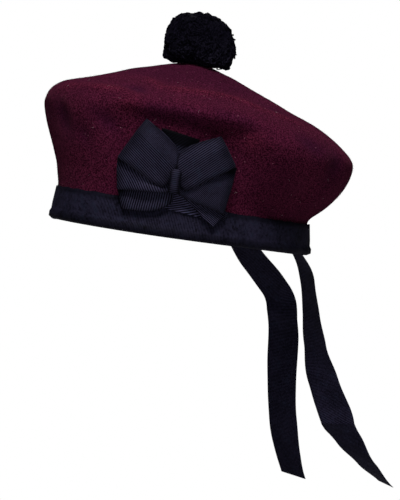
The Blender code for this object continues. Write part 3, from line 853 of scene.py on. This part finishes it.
def make_knot(material):
    """A short ribbon wrapped over the roots of the loops."""
    base = (max(loop.root_layer for loop in LOOPS) + 2) * LAYER + RIBBON_WALL / 2

    def place(u, v):
        off = 2 * u - 1
        along = 2 * v - 1
        lift = base + KNOT_CROWN * (1 - off * off) - KNOT_TUCK * abs(along) ** 4
        waist = 1 - 0.22 * (1 - along * along)
        return on_wall(off * waist * KNOT_WIDTH / 2, along * KNOT_LENGTH / 2, lift)

    def ribs(u, v):
        return v * KNOT_LENGTH / KNOT_PITCH

    def tone(u, v):
        # Painted shade over the knot, darkest along its sides where it meets the loops.
        return 0.66 - 0.58 * smooth_step((abs(2 * u - 1) - 0.3) / 0.6)

    rows = round(KNOT_LENGTH / KNOT_PITCH * RIB_CUTS)
    size = (KNOT_WIDTH, KNOT_LENGTH)
    mesh = ribbon_mesh("knot_ribbon", 12, rows, place, ribs, RIB_DEPTH, size, tone)
    add_ribbon("knot", mesh, material, 2 * RIBBON_CLOTH)


def tie_bend(bends, along):
    """The way a tie runs and faces at a share of its length."""
    for before, after in zip(bends, bends[1:]):
        if along <= after.along:
            break
    share = smooth_step((along - before.along) / (after.along - before.along))
    return [radians(a + (b - a) * share) for a, b in zip(before[1:], after[1:])]


def make_tie(name, side, bends, material):
    """A flat ribbon sewn inside the headband, which hangs from its lower edge."""
    turn = pi - side * TIE_SPREAD
    inset = CLEARANCE + HEAD_LENGTH / 2 * (1 - cos(pi / HEAD_SIDES)) + TIE_WALL / 2
    reach = band_radius(turn, 0.0, 0.0)

    def tucked(step, height):
        near = turn - step * TIE_WIDTH / 2 / reach
        return LEAN @ (heading(near) * band_radius(near, height, -inset) + Vector((0, 0, height)))

    middle = (tucked(-1 / 3, 0.0) + tucked(1 / 3, 0.0)) / 2
    sag = (middle - (tucked(-1.0, 0.0) + tucked(1.0, 0.0)) / 2).length
    stride = TIE_LENGTH / TIE_FRAMES
    frames = []
    for count in range(TIE_FRAMES + 1):
        lean, swing, facing = tie_bend(bends, count / TIE_FRAMES)
        way = Vector((tan(swing), tan(lean), -1.0)).normalized()
        across = Vector((cos(facing), sin(facing), 0.0))
        across = (across - way * across.dot(way)).normalized()
        frames.append((middle.copy(), across, across.cross(way)))
        middle += way * stride
    length = TIE_TUCK + TIE_LENGTH
    crease = TIE_CREASES[name]

    def place(u, v):
        step = 2 * u - 1
        run = v * length - TIE_TUCK
        if run < 0:
            return tucked(step, -run)
        index = min(int(run / stride), TIE_FRAMES - 1)
        part = run / stride - index
        middle, across, out = (a.lerp(b, part) for a, b in zip(frames[index], frames[index + 1]))
        along = run / TIE_LENGTH
        curl = sag * max(0.0, 1 - 3 * along) * step * step
        wave = TIE_WAVE * sin(along * 19 + side) * step
        away = min(abs(along - crease.along - CREASE_SLOPE * step) / crease.reach, 1.0)
        curl += crease.rise * (1 - away) ** 1.3
        return middle + across * step * TIE_WIDTH / 2 - out * (curl - wave)

    def ribs(u, v):
        return v * length / BAND_PITCH

    rows = round(length / BAND_PITCH) * RIB_CUTS
    size = (TIE_WIDTH, length)
    mesh = ribbon_mesh(name + "_ribbon", TIE_COLUMNS, rows, place, ribs, BAND_DEPTH, size)
    tie = add_ribbon(name, mesh, material)


def solid_copy(node, levels):
    """A copy of a construction solid, joined up and smoothed."""
    shape = bmesh.new()
    shape.from_mesh(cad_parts[node].data)
    bmesh.ops.remove_doubles(shape, verts=shape.verts, dist=1e-5)
    bmesh.ops.join_triangles(
        shape, faces=shape.faces, angle_face_threshold=radians(40), angle_shape_threshold=radians(60)
    )
    cage = put(node + "_cage", mesh_of(node, shape))
    smooth = cage.modifiers.new("Smooth", "SUBSURF")
    smooth.levels = levels
    smooth.render_levels = levels
    bpy.context.view_layer.update()
    fine = bpy.data.meshes.new_from_object(cage.evaluated_get(bpy.context.evaluated_depsgraph_get()))
    bpy.data.objects.remove(cage, do_unlink=True)
    return fine


def direction(turn, rise):
    """The way from the crown's heart to a place on the felt, upright."""
    return heading(radians(turn)) * cos(radians(rise)) + Vector((0, 0, sin(radians(rise))))


def dent_depth(way, distance):
    """How far the felt lies in, towards its heart, the way that a point lies from it."""
    depth = 0.0
    for start, end, dent in DENT_LINES:
        line = end - start
        along = min(max((way - start).dot(line) / line.length_squared, 0.0), 1.0)
        away = (way - (start + line * along).normalized()).length * distance / dent.width
        if away < 1:
            depth += dent.depth * smooth_step(1 - away) * (0.4 + 0.6 * sin(pi * along))
    return depth


def lump(point, height, fineness):
    """How far a small lump in the felt goes in at a point."""
    return height * noise.noise(point * fineness)


def make_crown(material):
    """The felt, dented and creased, marked for painted highlight where raised, painted shade where sunk
    and on top.
    """
    mesh = solid_copy("crown", 2)
    upright = LEAN.inverted()
    painted_fold_light = mesh.attributes.new("painted_fold_light", "FLOAT", "POINT")
    for vertex in mesh.vertices:
        point = upright @ vertex.co
        way = point - HEART
        distance = way.length
        way.normalize()
        held = smooth_step((point.z - BAND_HEIGHT) / FELT_HOLD)
        depth = dent_depth(way, distance) * held
        # Painted light and shade: higher where the felt is raised, lower where it is sunk and on the
        # flat top.
        level = PAINTED_LIGHT_LEVEL - depth / PAINTED_LIGHT_DENT - PAINTED_SHADE_TOP * smooth_step((way.z - 0.56) / 0.16)
        painted_fold_light.data[vertex.index].value = min(max(level, 0.0), 1.0)
        depth += (lump(point, *FINE_LUMPS) + lump(point, *COARSE_LUMPS)) * held
        depth -= FELT_SWELL * held
        vertex.co = LEAN @ (point - way * depth)
    crown = add_piece("felt_crown", mesh, material)
    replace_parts(crown, "crown")
    return crown


def fibre(thickness, bend):
    """A hair one unit long, three-sided and tapered, that bows to one side."""
    shape = bmesh.new()
    bmesh.ops.create_cone(
        shape, cap_ends=True, segments=3, radius1=thickness, radius2=thickness * 0.25, depth=1.0
    )
    bmesh.ops.translate(shape, verts=shape.verts, vec=(0, 0, 0.5))
    sides = [edge for edge in shape.edges if abs(edge.verts[0].co.z - edge.verts[1].co.z) > 0.5]
    bmesh.ops.subdivide_edges(shape, edges=sides, cuts=2, use_grid_fill=False)
    for vertex in shape.verts:
        vertex.co.x += bend * vertex.co.z ** 2
    return mesh_of("small", shape)


def strand():
    """A straight strand of yarn one unit long and thick, five-sided and cut across in steps."""
    shape = bmesh.new()
    bmesh.ops.create_cone(shape, cap_ends=True, segments=5, radius1=1.0, radius2=1.0, depth=1.0)
    bmesh.ops.translate(shape, verts=shape.verts, vec=(0, 0, 0.5))
    sides = [edge for edge in shape.edges if abs(edge.verts[0].co.z - edge.verts[1].co.z) > 0.5]
    bmesh.ops.subdivide_edges(shape, edges=sides, cuts=STRAND_STEPS - 1, use_grid_fill=False)
    return mesh_of("small", shape)


def corner_places(mesh):
    """The places of a mesh's corners, as an array."""
    coords = np.empty(len(mesh.vertices) * 3)
    mesh.vertices.foreach_get("co", coords)
    return coords.reshape(-1, 3)


def add_copies(master, spots, points, faces):
    """Adds a copy of a small mesh's faces for each set of corner places in spots."""
    base = sum(len(part) for part in points)
    points.append(spots.reshape(-1, 3))
    shapes = [list(polygon.vertices) for polygon in master.polygons]
    size = len(master.vertices)
    for start in range(base, base + len(spots) * size, size):
        faces += [[v + start for v in shape] for shape in shapes]
    bpy.data.meshes.remove(master)


def whole_mesh(name, points, faces):
    """One mesh of all the copies that were added."""
    mesh = bpy.data.meshes.new(name)
    mesh.from_pydata(np.concatenate(points), [], faces)
    mesh.update()
    return mesh


def joined(name, masters, places):
    """Joins many copies of a few small meshes; places holds which one and its matrix."""
    points = []
    faces = []
    for index, master in enumerate(masters):
        mats = np.array([matrix for which, matrix in places if which == index])
        corners = np.ones((len(master.vertices), 4))
        corners[:, :3] = corner_places(master)
        add_copies(master, np.einsum("kij,nj->kni", mats, corners)[:, :, :3], points, faces)
    return whole_mesh(name, points, faces)


def bent(name, master, paths):
    """Joins copies of a strand, each bent along a path of middles, sides and outs."""
    corners = corner_places(master)
    steps = np.rint(corners[:, 2] * STRAND_STEPS).astype(int)
    middles, sides, outs = np.array(paths).transpose(2, 0, 1, 3)[:, :, steps]
    points = []
    faces = []
    add_copies(master, middles + corners[:, :1] * sides + corners[:, 1:2] * outs, points, faces)
    return whole_mesh(name, points, faces)


def anywhere(face):
    """Keeps every face."""
    return True


def surface_spots(mesh, count, dice, keep):
    """Random spots spread evenly over the faces that keep allows, each with its normal."""
    faces = [face for face in mesh.polygons if keep(face)]
    total = np.cumsum([face.area for face in faces])
    for _ in range(count):
        place = dice.random() * total[-1]
        face = faces[int(np.searchsorted(total, place))]
        a, b, c = (mesh.vertices[v].co for v in face.vertices[:3])
        s, t = dice.random(), dice.random()
        if len(face.vertices) == 4:
            d = mesh.vertices[face.vertices[3]].co
            spot = a.lerp(b, s).lerp(d.lerp(c, s), t)
        else:
            if s + t > 1:
                s, t = 1 - s, 1 - t
            spot = a + (b - a) * s + (c - a) * t
        yield spot, face.normal


def aimed(spot, way, spin, scale):
    """A matrix that stands a small mesh at a spot with its Z along a way."""
    turn = way.to_track_quat("Z", "Y").to_matrix().to_4x4()
    size = Matrix.Diagonal((*scale, 1.0))
    return Matrix.Translation(spot) @ turn @ Matrix.Rotation(spin, 4, "Z") @ size


def random_way(dice):
    """A way that may point anywhere."""
    return Vector((dice.gauss(0, 1), dice.gauss(0, 1), dice.gauss(0, 1)))


def make_fuzz(crown, material, pale):
    """Short hairs that lie on the felt, and a few pale bits of lint."""
    dice = Random(11)
    hub = LEAN @ HEART
    brim = LEAN @ Vector((0, 0, BAND_HEIGHT))
    up = LEAN.to_3x3() @ Vector((0, 0, 1))

    def outer(face):
        over = (face.center - brim).dot(up) > FUZZ_FOOT
        return over and face.normal.dot(face.center - hub) > 0

    for fibres, cloth in ((FUZZ, material), (LINT, pale)):
        thick = fibres.thickness
        places = []
        for spot, normal in surface_spots(crown.data, fibres.count, dice, outer):
            size = dice.uniform(fibres.shortest, fibres.longest)
            side = random_way(dice)
            side = (side - normal * side.dot(normal)).normalized()
            lift = 0.10 if fibres is LINT else dice.uniform(0.05, 0.7)
            way = (side + normal * lift).normalized()
            matrix = aimed(spot - normal * thick, way, dice.uniform(0, 2 * pi), (thick, thick, size))
            places.append((dice.randrange(len(FIBRE_BENDS)), matrix))
        masters = [fibre(1.0, bend) for bend in FIBRE_BENDS]
        add_piece(fibres.name, joined(fibres.name, masters, places), cloth)


def strand_path(spot, core, felt, dice):
    """A path over the pompom's head that follows the swirl of the yarn, or None at the felt."""
    stride = STRAND_LENGTH * dice.uniform(0.7, 1.2) / STRAND_STEPS
    thickness = STRAND_THICKNESS * dice.uniform(0.75, 1.15)
    hump = dice.uniform(*STRAND_HUMP)
    stray = dice.gauss(0, 0.25)
    path = []
    for step in range(STRAND_STEPS + 1):
        place, normal = core.find_nearest(spot)[:2]
        if felt.find_nearest(place)[3] < STRAND_ROOM:
            return None
        pole = abs(normal.z) > 0.98
        east = (normal.orthogonal() if pole else normal.cross((0, 0, 1))).normalized()
        turn = stray + 6.0 * noise.noise(place / SWIRL_SIZE)
        turn += 2.5 * noise.noise(place / SWIRL_SIZE * 2.5)
        way = east * cos(turn) + normal.cross(east) * sin(turn)
        lift = hump * sin(pi * step / STRAND_STEPS) - STRAND_SINK
        path.append((place + normal * lift, normal.cross(way) * thickness, normal * thickness))
        spot = place + way * stride
    return path


def make_pompom(crown, material):
    """A head of curly yarn: a dark core, strands that swirl over it, and a few stray ends."""
    dice = Random(5)
    mesh = solid_copy("pompom", 1)
    felt = BVHTree.FromObject(crown, bpy.context.evaluated_depsgraph_get())
    middle = sum((vertex.co for vertex in mesh.vertices), Vector()) / len(mesh.vertices)
    normals = [vertex.normal.copy() for vertex in mesh.vertices]
    for vertex, normal in zip(mesh.vertices, normals):
        way = (vertex.co - middle).normalized()
        free = smooth_step((felt.find_nearest(vertex.co)[3] - CORE_ROOM) / CORE_HOLD)
        for side, rise, bulge in YARN_BULGES:
            near = smooth_step((way.dot(toward(VIEW_AZIMUTH + side, rise)) - 0.72) / 0.28)
            vertex.co += way * bulge * near * free
        vertex.co -= normal * CORE_DEPTH
    mesh.update()
    head = add_piece("pompom_core", mesh, material)
    core = BVHTree.FromObject(head, bpy.context.evaluated_depsgraph_get())
    paths = []
    for spot, _ in surface_spots(mesh, STRAND_COUNT, dice, anywhere):
        path = strand_path(spot, core, felt, dice)
        if path:
            paths.append(path)
    curls = bent("pompom_strands", strand(), paths)
    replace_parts(add_piece("pompom_strands", curls, material), "pompom")
    places = []
    for spot, normal in surface_spots(mesh, STRAY_COUNT, dice, anywhere):
        if felt.find_nearest(spot)[3] < STRAY_ROOM:
            continue
        way = (normal + random_way(dice) * 0.5).normalized()
        scale = (STRAY_THICKNESS, STRAY_THICKNESS, dice.uniform(*STRAY_LENGTH))
        matrix = aimed(spot, way, dice.uniform(0, 2 * pi), scale)
        places.append((len(places) % len(STRAY_BENDS), matrix))
    strays = joined("pompom_strays", [fibre(1.0, bend) for bend in STRAY_BENDS], places)
    add_piece("pompom_strays", strays, material)


def make_camera():
    """A long lens at the photograph's angle."""
    back = toward(VIEW_AZIMUTH, VIEW_ELEVATION)
    right = Vector((cos(radians(VIEW_AZIMUTH)), sin(radians(VIEW_AZIMUTH)), 0.0))
    up = back.cross(right)
    lens = bpy.data.cameras.new("view")
    lens.lens = VIEW_LENS
    lens.sensor_width = VIEW_FILM
    lens.clip_end = VIEW_END
    camera = put("view", lens)
    spot = right * VIEW_RIGHT + up * VIEW_UP + back * VIEW_DISTANCE
    camera.matrix_world = Matrix.Translation(spot) @ Matrix((right, up, back)).transposed().to_4x4()
    bpy.context.scene.camera = camera


def add_lamp(lamp):
    """A square soft lamp that faces the bonnet."""
    light = bpy.data.lights.new(lamp.name, "AREA")
    light.energy = lamp.power
    light.size = lamp.size
    light.color = lamp.colour
    holder = put(lamp.name, light)
    way = toward(VIEW_AZIMUTH + lamp.azimuth, lamp.elevation)
    holder.location = way * lamp.distance
    holder.rotation_euler = way.to_track_quat("Z", "Y").to_euler()


def make_floor():
    """A plain pale floor, which the camera sees evenly lit."""
    shape = bmesh.new()
    bmesh.ops.create_grid(shape, x_segments=1, y_segments=1, size=FLOOR_SIZE / 2)
    bmesh.ops.translate(shape, verts=shape.verts, vec=(0, 0, cad_low.z - FLOOR_DROP))
    floor = put("floor", mesh_of("floor", shape))
    pale = Finish("pale_floor", 1.0, 0.0, 0.0, (1.0, 1.0, 1.0))
    pale.surface.inputs["Base Color"].default_value = (*FLOOR_SHADE, 1.0)
    lit = Value(pale, pale.surface.outputs[0])
    glow = pale.add("ShaderNodeEmission", {}, {})
    seen = pale.add("ShaderNodeLightPath", {}, {}, "Is Camera Ray")
    pale.feed(pale.add("ShaderNodeMixShader", {}, {0: seen, 1: lit, 2: glow}), "Material Output", 0)
    floor.data.materials.append(pale.material)


def make_sky():
    """A plain white world, which gives less light than it shows."""
    world = bpy.data.worlds.new("studio")
    sky = Shader(world)
    seen = sky.add("ShaderNodeLightPath", {}, {}, "Is Camera Ray")
    inputs = {"Value": seen, "To Min": SKY_LIGHT, "To Max": 1.0}
    sky.feed(sky.add("ShaderNodeMapRange", {}, inputs), "Background", "Strength")
    sky.tree.nodes["Background"].inputs["Color"].default_value = (1.0, 1.0, 1.0, 1.0)
    bpy.context.scene.world = world
    bpy.context.scene.view_settings.view_transform = "Standard"


# The dents, each as the ways from the heart to its two ends
DENT_LINES = [
    (direction(dent.turn_from, dent.rise_from), direction(dent.turn_to, dent.rise_to), dent)
    for dent in DENTS
]

make_camera()
make_floor()
make_sky()
for lamp in LAMPS:
    add_lamp(lamp)

felt_crown = make_crown(felt_finish())
make_fuzz(felt_crown, fuzz_finish(), lint_finish())
make_headband(grosgrain_finish(BAND_FINISH))
cockade_cloth = grosgrain_finish(COCKADE_FINISH)
for loop in LOOPS:
    make_loop(loop, cockade_cloth)
for leaf in LEAVES:
    make_leaf(leaf, cockade_cloth)
make_knot(cockade_cloth)
make_pompom(felt_crown, yarn_finish())
tie_painted_light_cloth = grosgrain_finish(TIE_PAINTED_LIGHT_FINISH)
make_tie("tie_left", 1, TIE_LEFT_BENDS, tie_painted_light_cloth)
make_tie("tie_right", -1, TIE_RIGHT_BENDS, tie_painted_light_cloth)
